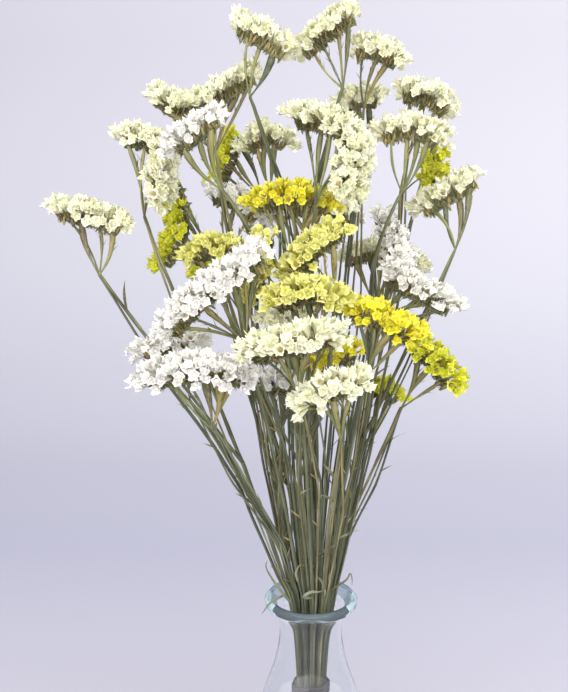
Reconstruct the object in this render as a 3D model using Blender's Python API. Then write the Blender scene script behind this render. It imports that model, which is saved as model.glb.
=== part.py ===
"""A tied bunch of dried statice standing in a clear glass vase.

Each plant is one node: a stem that forks into branches, then into the wedges of the toothed green keels
that carry the flowers. Each comb of papery flowers is a node of its own, seated on a keel.
The layout is worked out in millimetres and the meshes are made in metres. +Z is up, the vase stands
on Z = 0, and the side seen from the front faces -Y.
"""

import math
import random

import bmesh
import bpy
import numpy as np
from mathutils import Vector

MM = 0.001

# Vase
VASE_HEIGHT = 184.0
VASE_SIDES = 24
LIP_RADIUS = 34.0
NECK_RADIUS = 23.5
BELLY_RADIUS = 45.0
FOOT_RADIUS = 38.0
WALL = 3.0
FLOOR = 6.0

# Bundle of stems
TIE_HEIGHT = 112.0
TIE_WIDTH = 9.0
TIE_THICKNESS = 2.2
TIE_SIDES = 24
SLOT_PITCH = 4.45
STEM_RADIUS = 2.1
BRANCH_RADIUS = 1.5
FOOT_SPREAD = 1.4
FOOT_GAP = 0.7
TIE_GAP = 0.65
NECK_SPREAD = 1.55
LEVEL_STEP = 6.0
CLEARANCE = 1.3

# Flower combs
COMB_DROP = 6.0
WEDGE_LENGTH = 36.0
FLORET_PITCH = 16.0
FLORET_LENGTH = 13.0
FLORET_RADIUS = 7.7
THROAT_DEPTH = 3.4
SEAT_GAP = 0.2
CORE_WIDTH = 4.0
CORE_HEIGHT = 4.6
KEEL_WIDTH = 3.6
KEEL_DEPTH = 6.5
BRACT_REACH = 13.0
LEAF_WIDTH = 3.6
LEAF_THICKNESS = 1.1

# The point that the bunch is drawn from, and the middle of the vase's neck
EYE = np.array((-20.0, -596.0, 465.0))
NECK = np.array((0.0, 0.0, VASE_HEIGHT - 4.0))

# The name of each comb, its colour, its girth (1 for a comb of three rows) and the points that its
# middle line passes through: across, depth and height.
COMBS = {
    "top_left": ("cream", 1.0, ((-50, 2, 590), (-36, 5, 583), (-22, 2, 575))),
    "top_middle": ("cream", 1.0, ((-4, 20, 578), (10, 15, 589), (27, 12, 599))),
    "top_right": ("cream", 1.0, ((32, 26, 580), (43, 22, 578), (56, 18, 571))),
    "top_inner": ("cream", 0.9, ((24, 56, 543), (36, 59, 550), (48, 56, 549))),
    "right_high": ("cream", 1.0, ((65, 24, 549), (77, 21, 549), (91, 21, 539))),
    "right_inner": ("cream", 1.0, ((49, 0, 519), (66, -4, 523), (83, 0, 516))),
    "right_far": ("cream", 1.0, ((80, 15, 470), (96, 10, 478), (114, 15, 490))),
    "left_high": ("cream", 1.0, ((-109, 24, 547), (-92, 20, 537), (-70, 22, 545), (-42, 26, 562))),
    "left_bend": (
        "cream",
        0.9,
        ((-127, -10, 516), (-108, -12, 513), (-103, -20, 497), (-106, -26, 478)),
    ),
    "left_far": ("cream", 1.0, ((-169, -18, 468), (-149, -22, 464), (-131, -22, 458))),
    "inner_small": ("cream", 0.9, ((-44, 34, 514), (-34, 32, 522), (-21, 30, 516))),
    "centre_bend": ("cream", 1.2, ((-10, -8, 528), (14, -20, 523), (24, -28, 505), (16, -40, 482))),
    "white_top": ("white", 0.9, ((-87, -42, 508), (-74, -45, 517), (-62, -42, 526))),
    "white_middle": ("white", 1.0, ((-70, 34, 479), (-56, 26, 475), (-42, 24, 464))),
    "lime_left": ("lime", 0.8, ((-95, 18, 488), (-90, 10, 466), (-91, 5, 450), (-101, 0, 434))),
    "lime_left_high": ("lime", 0.8, ((-54, 58, 525), (-60, 56, 504), (-66, 54, 492))),
    "lime_back": ("lime", 1.0, ((-82, 72, 420), (-60, 84, 432), (-38, 86, 424))),
    "gold_inner": ("gold", 1.0, ((-36, -8, 472), (-16, -15, 478), (8, -12, 472))),
    "gold_back": ("gold", 1.1, ((-22, 100, 384), (4, 108, 396), (30, 100, 388))),
    "lemon_high": ("lemon", 1.0, ((14, -62, 455), (1, -66, 446), (-13, -64, 430))),
    "lemon_drop": ("lemon", 0.8, ((-29, -44, 450), (-34, -48, 436), (-36, -48, 420))),
    "lemon_left": ("lemon", 0.9, ((-78, -36, 438), (-66, -40, 444), (-54, -38, 442))),
    "white_bend": ("white", 1.2, ((-86, -76, 397), (-70, -76, 415), (-52, -72, 426), (-34, -74, 441))),
    "lemon_front": ("lemon", 1.0, ((-22, -88, 414), (-7, -92, 420), (10, -86, 415))),
    "cream_inner": ("cream", 0.8, ((-30, -66, 396), (-19, -68, 401), (-8, -66, 399))),
    "cream_front": ("cream", 1.0, ((-36, -98, 385), (-17, -105, 390), (8, -98, 395))),
    "white_low": ("white", 1.2, ((-100, -84, 366), (-72, -92, 373), (-44, -88, 368))),
    "white_low_back": ("white", 1.0, ((-108, -48, 376), (-93, -50, 382), (-78, -50, 381))),
    "white_low_right": ("white", 0.8, ((-33, -64, 360), (-21, -67, 358), (-8, -66, 354))),
    "cream_low": ("cream", 1.0, ((-2, -106, 358), (9, -110, 366), (22, -106, 367))),
    "gold_right": ("gold", 1.1, ((24, -68, 405), (39, -78, 401), (58, -74, 391))),
    "gold_low": ("gold", 0.9, ((4, -50, 368), (14, -54, 374), (25, -50, 378))),
    "white_right": (
        "white",
        1.1,
        ((48, 14, 461), (58, 2, 440), (53, -14, 423), (70, -26, 414), (90, -24, 405)),
    ),
    "lime_right": ("lime", 1.0, ((70, -18, 375), (80, -25, 368), (90, -28, 354))),
    "lime_high": ("lime", 0.8, ((90, 48, 510), (89, 46, 498), (87, 42, 484))),
    "lime_inner": ("lime", 0.8, ((38, 22, 336), (49, 18, 339), (61, 18, 333))),
    "white_back": ("white", 1.1, ((30, 82, 462), (4, 92, 474), (-26, 86, 464))),
    "cream_back": ("cream", 1.1, ((82, 72, 424), (58, 86, 436), (34, 92, 430))),
}

# The name of each plant, the share of its height at which it forks, and the combs that it bears
PLANTS = {
    "top_left": (0.70, ("top_left", "top_middle")),
    "top_right": (0.75, ("top_right", "top_inner")),
    "right": (0.45, ("right_high", "right_inner", "right_far")),
    "left_high": (0.6, ("left_high",)),
    "left_wide": (0.45, ("left_bend", "left_far")),
    "centre": (0.6, ("inner_small", "centre_bend")),
    "white_top": (0.6, ("white_top", "white_middle")),
    "lime_left": (0.4, ("lime_left", "lime_left_high", "lime_back")),
    "gold": (0.35, ("gold_inner", "gold_back")),
    "lemon": (0.5, ("lemon_high", "lemon_drop", "lemon_left")),
    "white_bend": (0.6, ("white_bend",)),
    "lemon_front": (0.6, ("lemon_front", "cream_inner")),
    "cream_front": (0.6, ("cream_front",)),
    "white_low": (0.4, ("white_low", "white_low_back", "white_low_right")),
    "cream_low": (0.6, ("cream_low",)),
    "gold_right": (0.5, ("gold_right", "gold_low")),
    "white_right": (0.6, ("white_right",)),
    "lime_right": (0.3, ("lime_right", "lime_high", "lime_inner")),
    "white_back": (0.6, ("white_back",)),
    "cream_back": (0.6, ("cream_back",)),
}

# Colour with alpha, then roughness
COLOURS = {
    "cream": ((0.86, 0.85, 0.62, 1), 0.75),
    "white": ((0.88, 0.87, 0.85, 1), 0.75),
    "lime": ((0.68, 0.74, 0.10, 1), 0.75),
    "lemon": ((0.84, 0.82, 0.32, 1), 0.75),
    "gold": ((0.87, 0.76, 0.06, 1), 0.75),
    "stem": ((0.22, 0.26, 0.16, 1), 0.85),
    "tie": ((0.12, 0.10, 0.13, 1), 0.6),
    "glass": ((0.75, 0.88, 0.88, 0.35), 0.05),
}


# Small helpers


def unit(vector):
    """The vector at length 1."""
    return vector / max(np.linalg.norm(vector), 1e-9)


def between(first, second, share):
    """A frame part of the way from one frame to the next."""
    point = first[0] + (second[0] - first[0]) * share
    turned = [unit(a + (b - a) * share) for a, b in zip(first[1:], second[1:])]
    return point, *turned


def smooth_line(points, step):
    """Points at even steps of about this length on a smooth curve through the given points."""
    points = np.array(points, float)
    ends = [2 * points[0] - points[1], *points, 2 * points[-1] - points[-2]]
    dense = []
    for before, low, high, after in zip(ends, ends[1:], ends[2:], ends[3:]):
        for t in np.linspace(0, 1, 12, endpoint=False):
            slope = (high - before) * t
            bend = (2 * before - 5 * low + 4 * high - after) * t**2
            twist = (3 * low - before - 3 * high + after) * t**3
            dense.append(low + 0.5 * (slope + bend + twist))
    dense = np.array([*dense, points[-1]])
    lengths = np.linalg.norm(np.diff(dense, axis=0), axis=1)
    run = np.concatenate([[0], np.cumsum(lengths)])
    even = np.linspace(0, run[-1], max(2, round(run[-1] / step) + 1))
    return np.stack([np.interp(even, run, dense[:, k]) for k in range(3)], axis=1)


# Where the combs are


def comb_frames(spine):
    """(point, along, side, up) along a comb's seat. Up leans away from the vase's neck, untwisted."""
    line = smooth_line(spine, FLORET_PITCH) - (0, 0, COMB_DROP)
    lean = unit(unit(line.mean(axis=0) - NECK) * 0.7 + np.array((0, 0, 0.5)))
    count = len(line)
    alongs = [unit(line[min(i + 1, count - 1)] - line[max(i - 1, 0)]) for i in range(count)]
    ups = [lean] * count
    first = min(range(count), key=lambda i: abs(lean @ alongs[i]))
    for i in [*range(first, count), *range(first - 1, -1, -1)]:
        carried = lean if i == first else ups[i - 1] if i > first else ups[i + 1]
        ups[i] = unit(carried - alongs[i] * (carried @ alongs[i]))
    return [(p, a, np.cross(a, u), u) for p, a, u in zip(line, alongs, ups)]


def comb_foot(frames):
    """The point where a branch divides into the wedges of a comb."""
    middle = np.mean([f[0] for f in frames], axis=0)
    down = unit(np.mean([f[3] for f in frames], axis=0) + unit(middle - NECK))
    return middle - down * WEDGE_LENGTH


def head_balls(frames, girth):
    """Balls that fill a comb and its wedges: centre and radius."""
    foot = comb_foot(frames)
    balls = []
    for point, _, _, up in frames:
        balls.append((*(point + up * 5), 9.5 + 4.5 * girth))
        balls.append((*foot, 3.5))
        balls.append((*(foot + (point - foot) * 0.35), 3.5))
        balls.append((*(foot + (point - foot) * 0.7), 7.0))
    return balls


def settled_combs():
    """The frames of every comb, slid along the line of sight until the combs clear each other."""
    names = list(COMBS)
    rows = []
    for index, (_, girth, spine) in enumerate(COMBS.values()):
        rows += [(*ball, index) for ball in head_balls(comb_frames(spine), girth)]
    rows = np.array(rows)
    owner = rows[:, 4].astype(int)
    depth = np.array([rows[owner == i, 1].mean() + 0.01 * i for i in range(len(names))])
    order = np.sign(depth[owner][:, None] - depth[owner][None])
    need = rows[:, None, 3] + rows[None, :, 3]
    scale = np.ones(len(names))
    for _ in range(160):
        place = EYE + (rows[:, :3] - EYE) * scale[owner][:, None]
        gap = place[:, None] - place[None]
        want = np.sqrt(np.clip(need**2 - gap[..., 0] ** 2 - gap[..., 2] ** 2, 0, None))
        short = np.where((want > 0) & (order != 0), np.clip(want - order * gap[..., 1], 0, None), 0)
        for i in range(len(names)):
            mine = short[owner == i]
            signs = order[owner == i]
            move = (mine * (signs > 0)).max() - (mine * (signs < 0)).max()
            scale[i] += 0.3 * move / -EYE[1]
        scale = 1 + (scale - 1) * 0.997
    return {
        name: comb_frames(EYE + (np.array(COMBS[name][2]) - EYE) * s) for name, s in zip(names, scale)
    }


# Where the stems run


def bundle_slots(count):
    """Places for the stems in the tie, in a hexagonal packing, from the middle outwards."""
    reach = range(-4, 5)
    grid = [
        ((i + 0.5 * (j % 2)) * SLOT_PITCH + 0.8, j * math.sqrt(0.75) * SLOT_PITCH + 0.5)
        for i in reach
        for j in reach
    ]
    return np.array(sorted(grid, key=lambda p: p[0] ** 2 + p[1] ** 2)[:count])


def assigned_slots(targets):
    """A slot for each plant, so that the stems keep their order from the tie to the heads."""
    slots = bundle_slots(len(targets))
    wanted = targets * (np.abs(slots).max() / np.abs(targets).max())
    cost = ((wanted[:, None] - slots[None]) ** 2).sum(axis=2)
    order = list(range(len(targets)))
    better = True
    while better:
        better = False
        for i in range(len(order)):
            for j in range(i):
                now = cost[i, order[i]] + cost[j, order[j]]
                swapped = cost[i, order[j]] + cost[j, order[i]]
                if swapped < now - 1e-6:
                    order[i], order[j] = order[j], order[i]
                    better = True
    return slots[order]


class Column:
    """One stem or branch from a start up to an end. It bears a comb, or forks where comb is None."""

    def __init__(self, plant, comb, start, end, radius, bow):
        self.plant, self.comb, self.radius, self.bow = plant, comb, radius, bow
        self.start, self.end = np.array(start, float), np.array(end, float)
        self.line = None


def first_columns(combs, slots):
    """The trunk and branches of every plant, before they are moved apart."""
    feet = {name: comb_foot(frames) for name, frames in combs.items()}
    columns = []
    for slot, (plant, (share, names)) in zip(slots, PLANTS.items()):
        start = np.array((*(slot * NECK_SPREAD), NECK[2]))
        if len(names) == 1:
            columns.append(Column(plant, names[0], start, feet[names[0]], STEM_RADIUS, 0.35))
            continue
        lowest = min(feet[n][2] for n in names)
        mean = np.mean([feet[n] for n in names], axis=0)
        rise = lowest - start[2]
        lean = (0.55 * share + 0.45 * share**2) * rise / (mean[2] - start[2])
        fork = (*(start[:2] + (mean[:2] - start[:2]) * lean), start[2] + share * rise)
        columns.append(Column(plant, None, start, fork, STEM_RADIUS, 0.25))
        columns += [Column(plant, n, fork, feet[n], BRANCH_RADIUS, 0.0) for n in names]
    return columns


def level_places(columns, levels):
    """The place of each column across and in depth at each level, and where it really runs."""
    starts = np.array([c.start for c in columns])
    ends = np.array([c.end for c in columns])
    share = np.clip((levels - starts[:, 2:]) / (ends[:, 2:] - starts[:, 2:]), 0, 1)
    bow = np.array([c.bow for c in columns])[:, None]
    ease = (1 - bow) * share + bow * share**2
    place = starts[:, None, :2] + (ends - starts)[:, None, :2] * ease[..., None]
    live = (levels > starts[:, 2:] + 2) & (levels < ends[:, 2:] - 2)
    return place, live


def relax(columns, combs, rounds=240):
    """Moves the columns apart in the level, and clear of other combs, while their ends stay."""
    levels = np.arange(NECK[2], max(c.end[2] for c in columns) + LEVEL_STEP, LEVEL_STEP)
    place, live = level_places(columns, levels)
    fixed = place.copy()
    run = np.array([c.end - c.start for c in columns])
    stretch = np.sqrt(1 + (run[:, :2] ** 2).sum(axis=1) / run[:, 2] ** 2)
    radii = np.array([c.radius for c in columns])
    need = (radii[:, None] + radii[None] + CLEARANCE) * np.maximum(stretch[:, None], stretch[None])
    plants = np.array([list(PLANTS).index(c.plant) for c in columns])
    meets = (plants[:, None] != plants[None])[..., None] & live[:, None] & live[None]
    hits = []
    for name, frames in combs.items():
        for x, y, z, radius in head_balls(frames, COMBS[name][1]):
            for i, column in enumerate(columns):
                if column.comb == name:
                    continue
                wide = (radius + 2.0 + column.radius) ** 2 - (levels - z) ** 2
                hits += [(i, k, x, y, math.sqrt(wide[k])) for k in np.flatnonzero(live[i] & (wide > 0))]
    hits = np.array(hits)
    at = hits[:, 0].astype(int), hits[:, 1].astype(int)
    for turn in range(rounds):
        gap = place[:, None] - place[None]
        far = np.maximum(np.linalg.norm(gap, axis=-1), 1e-6)
        short = np.clip(need[..., None] - far, 0, None) * meets
        push = 0.5 * ((short / far)[..., None] * gap).sum(axis=1)
        gap = place[at] - hits[:, 2:4]
        far = np.maximum(np.linalg.norm(gap, axis=1), 1e-6)
        short = np.clip(hits[:, 4] - far, 0, None)
        np.add.at(push, at, 0.5 * (short / far)[:, None] * gap)
        place += np.clip(push, -3, 3)
        ease = 0.25 if turn < rounds - 60 else 0.15
        place[:, 1:-1] += ease * (place[:, :-2] + place[:, 2:] - 2 * place[:, 1:-1])
        place = np.where(live[..., None], place, fixed)
    for i, column in enumerate(columns):
        middle = np.column_stack([place[i][live[i]], levels[live[i]]])
        column.line = np.array([column.start, *middle, column.end])


def lay_out():
    """The frames of the combs, the slots of the plants in the tie, and every stem and branch."""
    combs = settled_combs()
    feet = {name: comb_foot(frames) for name, frames in combs.items()}
    means = np.array([np.mean([feet[n][:2] for n in names], axis=0) for _, names in PLANTS.values()])
    slots = assigned_slots(means)
    columns = first_columns(combs, slots)
    relax(columns, combs)
    return combs, slots, columns


def thinned(line, slack=0.5):
    """The fewest points of a line that keep it within this distance of its old run."""
    run = line[-1] - line[0]
    share = np.clip((line - line[0]) @ run / (run @ run), 0, 1)
    off = np.linalg.norm(line - line[0] - share[:, None] * run, axis=1)
    worst = int(off.argmax())
    if off[worst] <= slack:
        return np.array([line[0], line[-1]])
    return np.concatenate([thinned(line[: worst + 1], slack)[:-1], thinned(line[worst:], slack)])


# Meshes


def loft(rings):
    """A closed mesh object through rings of points in millimetres. A ring may be one point."""
    bm = bmesh.new()
    rows = [[bm.verts.new(Vector(p) * MM) for p in ring] for ring in rings]
    for low, high in zip(rows, rows[1:]):
        count = max(len(low), len(high))
        for i in range(count):
            j = (i + 1) % count
            corners = [low[i % len(low)], low[j % len(low)], high[j % len(high)], high[i % len(high)]]
            bm.faces.new(list(dict.fromkeys(corners)))
    for row in (rows[0], rows[-1]):
        if len(row) > 2:
            bm.faces.new(row)
    bmesh.ops.triangulate(bm, faces=bm.faces, quad_method="SHORT_EDGE")
    bmesh.ops.recalc_face_normals(bm, faces=bm.faces)
    mesh = bpy.data.meshes.new("piece")
    bm.to_mesh(mesh)
    bm.free()
    return bpy.data.objects.new("piece", mesh)


def ring(centre, first, second, radius, sides, turn=0.0):
    """Points round a centre in the plane of two directions."""
    turns = [turn + i * 2 * math.pi / sides for i in range(sides)]
    return [centre + (first * math.cos(t) + second * math.sin(t)) * radius for t in turns]


def lens(centre, wide, thin):
    """Four points of a flat section, given by its two half-widths as vectors."""
    return [centre + wide, centre + thin, centre - wide, centre - thin]


def tube(points, radii, sides):
    """A tapered stem with few sides, turned so that six-sided stems lie flat to flat in the tie."""
    rings = []
    for i, (point, radius) in enumerate(zip(points, radii)):
        along = unit(points[min(i + 1, len(points) - 1)] - points[max(i - 1, 0)])
        side = unit(np.cross((0, 1, 0), along))
        rings.append(ring(point, side, np.cross(along, side), radius, sides, math.pi / sides))
    return loft(rings)


def leaf(root, tip, bow):
    """A narrow leaf that widens, bends a little towards bow and ends in a point."""
    along = unit(tip - root)
    edge = unit(np.cross(along, bow))
    out = np.cross(edge, along) * LEAF_THICKNESS / 2
    middle = root + (tip - root) * 0.45 + unit(bow) * 1.5
    return loft(
        [
            lens(root, edge * LEAF_WIDTH * 0.25, out),
            lens(middle, edge * LEAF_WIDTH * 0.5, out),
            [tip],
        ]
    )


def floret(root, reach, side, length, radius, sides):
    """A papery trumpet: a point sunk in the core, a wide rim and a hollow mouth."""
    rim = ring(root + reach * length, side, np.cross(reach, side), radius, sides, 0.4)
    return loft([[root], rim, [root + reach * (length - THROAT_DEPTH)]])


def comb_core(frames, girth):
    """The slim body under the florets of a comb, with its flat side on the seat."""
    rings = []
    for i, (point, along, side, up) in enumerate(frames):
        end = {0: -1, len(frames) - 1: 1}.get(i, 0)
        half = CORE_WIDTH * girth * (0.6 if end else 1.0)
        seat = point + along * (3.0 * end) + up * SEAT_GAP
        rings.append([seat - side * half, seat + side * half, seat + up * CORE_HEIGHT * girth])
    return loft(rings)


def seat_height(spots, frames):
    """The least height of these points over the part of the seat that each lies above."""
    heights = [99.0]
    for point, along, side, up in frames:
        away = spots - point
        over = (np.abs(away @ along) < 0.6 * FLORET_PITCH) & (np.abs(away @ side) < BRACT_REACH)
        heights += list((away @ up)[over])
    return min(heights)


def lifted(reach, root, length, radius, frames):
    """The way of a floret, turned up until its rim clears the seat all along the comb."""
    nearest = min(frames, key=lambda f: np.linalg.norm(f[0] - root))
    for _ in range(8):
        side = unit(np.cross(reach, nearest[1]))
        rim = ring(root + reach * length, side, np.cross(reach, side), radius, 8)
        if seat_height(np.array(rim), frames) > 0.5:
            break
        reach = unit(reach + nearest[3] * 0.12)
    return reach


def comb_florets(frames, girth, rng):
    """The trumpets of a comb, in rows that fan from side to side."""
    rows = 2 if girth < 0.85 else 3 if girth < 1.15 else 4
    widest = math.radians(34 if rows == 2 else 58)
    made = []
    for row in range(rows):
        fan = widest * (2 * row / (rows - 1) - 1)
        outer = rows > 2 and row in (0, rows - 1)
        odd = row % 2
        for i in range(len(frames) - odd):
            point, along, side, up = between(frames[i], frames[min(i + 1, len(frames) - 1)], 0.5 * odd)
            share = (i + 0.5 * odd) / (len(frames) - 1) * 2 - 1
            splay = 0.5 * share * abs(share) + rng.uniform(-0.05, 0.05)
            reach = unit(up * math.cos(fan) + side * math.sin(fan) + along * splay)
            length = FLORET_LENGTH * (0.55 + 0.45 * girth) * rng.uniform(0.92, 1.06)
            radius = FLORET_RADIUS * rng.uniform(0.92, 1.04)
            reach = lifted(reach, point + up * 2.0, length, radius, frames)
            across = unit(np.cross(reach, along))
            made.append(floret(point + up * 2.0, reach, across, length, radius, 4 if outer else 5))
    return made


def knotted(points):
    """A line that runs on for a few millimetres, so that what it bears is sunk in its end."""
    rise = unit(points[-1] - points[-2])
    return np.array([*points[:-1], points[-1] - rise * 2.0, points[-1] + rise * 0.5, points[-1] + rise * 4.0])


def keel(frames, girth, foot, rng):
    """The green body just under a comb's seat, with bracts on both edges and wedges down to its foot."""
    halved = [frames[0]]
    for low, high in zip(frames, frames[1:]):
        halved += [between(low, high, 0.5), high]
    wedges = max(1, min(len(frames) - 1, round(len(frames) * 0.6)))
    spread = np.linspace(0, len(frames) - 2, wedges).round()
    deep = [2 * int(k) + 1 for k in spread]
    rings = []
    for i, (point, along, side, up) in enumerate(halved):
        end = {0: -1, len(halved) - 1: 1}.get(i, 0)
        seat = point + along * (2.0 * end) - up * SEAT_GAP
        before, after = halved[max(i - 2, 0)], halved[min(i + 2, len(halved) - 1)]
        straight = 1 - np.linalg.norm(after[1] - before[1]) * 0.5
        corners = []
        for way in (-1, 1):
            narrow = KEEL_WIDTH * (0.6 if i in deep else 1.0)
            reach = BRACT_REACH * rng.uniform(0.8, 1.05) * straight if i % 2 == 0 else narrow
            drop = rng.uniform(2.5, 5.0) if i % 2 == 0 else 0.0
            corners.append(seat + side * (way * reach * girth) - up * drop)
        bottom = seat - up * KEEL_DEPTH * (0.7 if end else 1.0)
        if i % 2 == 0:
            bottom = bottom + along * (4.5 * ((i + 1 in deep) - (i - 1 in deep)))
        if i in deep:
            bottom = foot + along * (0.5 * (deep.index(i) - (len(deep) - 1) / 2))
        rings.append([*corners, bottom])
    return loft(rings)


def clear_leaf(root, rise, length, others):
    """A leaf from this root in the direction that keeps it furthest from the other points."""
    best = None
    for turn in range(12):
        angle = turn * math.pi / 6
        side = np.array((math.cos(angle), math.sin(angle), 0.0))
        tip = root + unit(rise + side * 0.45) * length
        spots = np.array([root + (tip - root) * s for s in (0.4, 0.7, 1.0)])
        room = np.linalg.norm(others[:, None] - spots[None], axis=2).min()
        if best is None or room > best[0]:
            best = (room, tip, side)
    return leaf(root, best[1], best[2])


def plant_pieces(plant, slot, columns, combs, rng):
    """Every closed piece of one plant, to be fused."""
    own = [c for c in columns if c.plant == plant]
    others = [c.line for c in columns if c.plant != plant]
    others += [np.array([f[0] + f[3] * 5 for f in frames]) for frames in combs.values()]
    others = np.concatenate(others)
    trunk = own[0]
    foot = (*(slot * FOOT_SPREAD), FLOOR + FOOT_GAP)
    points = np.array([foot, (*slot, TIE_HEIGHT), *thinned(trunk.line)])
    radii = np.linspace(STEM_RADIUS, STEM_RADIUS * 0.8, len(points))
    pieces = [tube(knotted(points), [*radii, STEM_RADIUS, 0.7], 6)]
    middle = trunk.line[int(len(trunk.line) * rng.uniform(0.45, 0.8))]
    rise = unit(trunk.end - trunk.start)
    pieces.append(clear_leaf(middle, rise, rng.uniform(20, 30), others))
    for column in own:
        if column is not trunk:
            line = thinned(column.line)
            line[0] -= unit(line[1] - line[0]) * 1.5
            pieces.append(tube(knotted(line), [*np.linspace(BRANCH_RADIUS, 1.3, len(line)), 1.9, 0.7], 4))
        if column.comb:
            frames = combs[column.comb]
            pieces.append(keel(frames, COMBS[column.comb][1], column.end, rng))
    return pieces


# Objects


def material(name):
    """A plain Principled material in this colour."""
    colour, roughness = COLOURS[name]
    made = bpy.data.materials.new(name)
    made.use_nodes = True
    shader = made.node_tree.nodes["Principled BSDF"]
    shader.inputs["Base Color"].default_value = colour
    shader.inputs["Alpha"].default_value = colour[3]
    shader.inputs["Roughness"].default_value = roughness
    shader.inputs["Metallic"].default_value = 0.0
    made.diffuse_color = colour
    return made


def added(name, mesh, colour):
    """A linked object of this mesh and material."""
    mesh.materials.clear()
    mesh.materials.append(colour)
    made = bpy.data.objects.new(name, mesh)
    bpy.context.scene.collection.objects.link(made)
    return made


def largest_body(mesh):
    """Fills the hollows that fusing sealed and drops loose scraps: only the largest shell stays."""
    bm = bmesh.new()
    bm.from_mesh(mesh)
    left = set(bm.verts)
    shells = []
    while left:
        shell, edge = set(), [left.pop()]
        while edge:
            vert = edge.pop()
            shell.add(vert)
            near = {e.other_vert(vert) for e in vert.link_edges} & left
            left -= near
            edge += near
        shells.append(shell)
    largest = max(shells, key=len)
    bmesh.ops.delete(bm, geom=[v for v in bm.verts if v not in largest], context="VERTS")
    bm.to_mesh(mesh)
    bm.free()


def fused(name, pieces, colour):
    """One object made of overlapping closed pieces by one Boolean union."""
    base = added(name, pieces[0].data, colour)
    bpy.data.objects.remove(pieces[0])
    group = bpy.data.collections.new(name + "_repeats")
    bpy.context.scene.collection.children.link(group)
    for piece in pieces[1:]:
        group.objects.link(piece)
    union = base.modifiers.new("union", "BOOLEAN")
    union.operation = "UNION"
    union.operand_type = "COLLECTION"
    union.collection = group
    union.solver = "MANIFOLD"
    bpy.context.view_layer.update()
    result = base.evaluated_get(bpy.context.evaluated_depsgraph_get())
    mesh = bpy.data.meshes.new_from_object(result)
    largest_body(mesh)
    base.modifiers.clear()
    base.data = mesh
    for piece in pieces[1:]:
        bpy.data.objects.remove(piece)
    bpy.data.collections.remove(group)
    mesh.materials.clear()
    mesh.materials.append(colour)


def vase_profile():
    """Half of the vase's section: outside from the foot to the lip, then inside down to the floor."""
    top = VASE_HEIGHT
    outside = (
        (0, 0),
        (FOOT_RADIUS, 0),
        (FOOT_RADIUS + 4, 5),
        (BELLY_RADIUS, 34),
        (BELLY_RADIUS - 1, 66),
        (BELLY_RADIUS - 8, 102),
        (NECK_RADIUS + 4, 130),
        (NECK_RADIUS, 152),
        (NECK_RADIUS + 1, top - 16),
        (LIP_RADIUS - 2.5, top - 8),
        (LIP_RADIUS, top - 5.5),
        (LIP_RADIUS, top - 2),
        (LIP_RADIUS - 2.2, top),
    )
    inside = (
        (LIP_RADIUS - 5, top - 1),
        (NECK_RADIUS + 1 - WALL, top - 14),
        (NECK_RADIUS - WALL, 151),
        (NECK_RADIUS + 4 - WALL, 129),
        (BELLY_RADIUS - 8 - WALL, 101),
        (BELLY_RADIUS - 1 - WALL, 66),
        (BELLY_RADIUS - WALL, 34),
        (FOOT_RADIUS, FLOOR + 3),
        (FOOT_RADIUS - 8, FLOOR),
        (0, FLOOR),
    )
    return [Vector((r, 0, z)) * MM for r, z in outside + inside]


def build_vase():
    """The vase, its profile spun round the Z axis."""
    bm = bmesh.new()
    verts = [bm.verts.new(p) for p in vase_profile()]
    edges = [bm.edges.new(pair) for pair in zip(verts, verts[1:])]
    bmesh.ops.spin(
        bm,
        geom=verts + edges,
        cent=(0, 0, 0),
        axis=(0, 0, 1),
        angle=2 * math.pi,
        steps=VASE_SIDES,
        use_merge=True,
    )
    bmesh.ops.remove_doubles(bm, verts=bm.verts, dist=1e-5)
    bmesh.ops.recalc_face_normals(bm, faces=bm.faces)
    mesh = bpy.data.meshes.new("vase")
    bm.to_mesh(mesh)
    bm.free()
    mesh.shade_smooth()
    mesh.set_sharp_from_angle(angle=math.radians(50))
    added("vase", mesh, material("glass"))


def build_tie(slots):
    """The elastic tie: a band that follows the outline of the bundle."""
    section = ((0.0, -0.5), (0.7, -0.5), (1.0, -0.25), (1.0, 0.25), (0.7, 0.5), (0.0, 0.5))
    bm = bmesh.new()
    rows = []
    for k in range(TIE_SIDES):
        turn = 2 * math.pi * k / TIE_SIDES
        way = np.array((math.cos(turn), math.sin(turn)))
        inner = max(slots @ way) + STEM_RADIUS + TIE_GAP
        row = []
        for out, rise in section:
            x, y = way * (inner + out * TIE_THICKNESS)
            row.append(bm.verts.new(Vector((x, y, TIE_HEIGHT + rise * TIE_WIDTH)) * MM))
        rows.append(row)
    for row, after in zip(rows, rows[1:] + rows[:1]):
        for i in range(len(section)):
            j = (i + 1) % len(section)
            bm.faces.new((row[i], row[j], after[j], after[i]))
    bmesh.ops.triangulate(bm, faces=bm.faces)
    bmesh.ops.recalc_face_normals(bm, faces=bm.faces)
    mesh = bpy.data.meshes.new("tie")
    bm.to_mesh(mesh)
    bm.free()
    added("tie", mesh, material("tie"))


def main():
    """Clears the scene and builds every node."""
    for obj in list(bpy.data.objects):
        bpy.data.objects.remove(obj)
    combs, slots, columns = lay_out()
    colours = {name: material(name) for name in ("cream", "white", "lime", "lemon", "gold", "stem")}
    build_vase()
    build_tie(slots)
    for number, (plant, slot) in enumerate(zip(PLANTS, slots)):
        rng = random.Random(number)
        fused("stem_" + plant, plant_pieces(plant, slot, columns, combs, rng), colours["stem"])
    for number, (name, frames) in enumerate(combs.items()):
        rng = random.Random(100 + number)
        colour, girth, _ = COMBS[name]
        pieces = [comb_core(frames, girth), *comb_florets(frames, girth, rng)]
        fused("flowers_" + name, pieces, colours[colour])


main()
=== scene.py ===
"""The tied bunch of dried statice in its glass vase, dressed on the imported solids.

The layout repeats the part's own rules in millimetres. Every node is replaced by a finer piece that
keeps its form: combs of ruffled calyces, winged stems with bracts and leaves, the tie and the vase.
"""

import math
import random

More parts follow.
